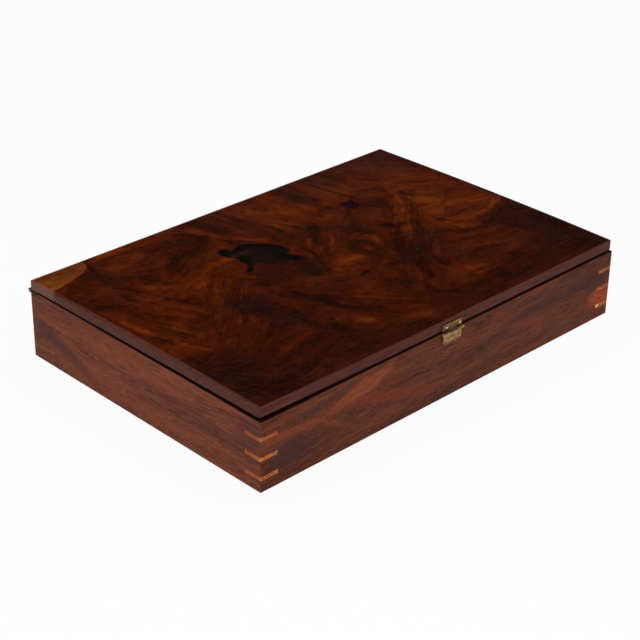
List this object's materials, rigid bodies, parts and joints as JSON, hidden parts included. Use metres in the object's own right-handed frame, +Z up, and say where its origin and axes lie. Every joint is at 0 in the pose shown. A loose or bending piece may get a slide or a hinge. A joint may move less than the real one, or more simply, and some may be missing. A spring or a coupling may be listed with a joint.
{
  "type": "antique knife box",
  "caption": "Shallow walnut knife box with mitred corners, keyed at the front, a slightly warped flat lid on a full-length brass hinge, a brass hasp at the front, and notched knife rests inside.",
  "frame": {"origin": "centre of the box's underside, on the surface it stands on", "axes": "+X along the box, with the hasp in front at -Y and the hinge behind at +Y; +Z up"},
  "size_m": [0.451, 0.3115, 0.0799],
  "materials": {
    "case_walnut": "worn satin, reddish brown walnut with darker streaks",
    "lid_walnut": "dark figured walnut, satin to semi-gloss",
    "key_wood": "lighter orange-brown wood, satin",
    "bottom_wood": "plain dull softwood, stained",
    "rest_wood": "plain walnut, dull",
    "baize": "green felted wool",
    "hinge_brass": "aged, dull",
    "hasp_brass": "aged, rubbed bright on its edges",
    "pin_brass": "rubbed bright",
    "screw_brass": "aged"
  },
  "bodies": {
    "case": {"front_board": "case_walnut", "back_board": "case_walnut", "left_board": "case_walnut", "right_board": "case_walnut", "key_front_left_1": "key_wood", "key_front_left_2": "key_wood", "key_front_left_3": "key_wood", "key_front_right_1": "key_wood", "key_front_right_2": "key_wood", "key_front_right_3": "key_wood", "bottom_panel": "bottom_wood", "bottom_screws": "screw_brass", "baize_lining": "baize", "handle_rest": "rest_wood", "blade_rest": "rest_wood", "hinge_leaf_case": "hinge_brass", "hinge_pin": "hinge_brass", "hinge_screws_case": "screw_brass", "keeper_plate": "hasp_brass", "keeper_pins": "pin_brass"},
    "lid": {"lid_panel": "lid_walnut", "hinge_leaf_lid": "hinge_brass", "hinge_screws_lid": "screw_brass", "hasp_plate": "hasp_brass", "hasp_plate_pins": "pin_brass", "hasp_hinge_pin": "pin_brass"},
    "flap": {"hasp_flap": "hasp_brass"}
  },
  "joints": [
    {"name": "lid_hinge", "type": "hinge", "parent": "case", "child": "lid", "pos_m": [0, 0.1538, 0.0661], "axis": [-1, 0, 0], "range_deg": [0, 189.5]},
    {"name": "hasp_hinge", "type": "hinge", "parent": "lid", "child": "flap", "pos_m": [-0.0015, -0.1542, 0.0662], "axis": [-1, 0, 0], "range_deg": [0, 165]}
  ]
}
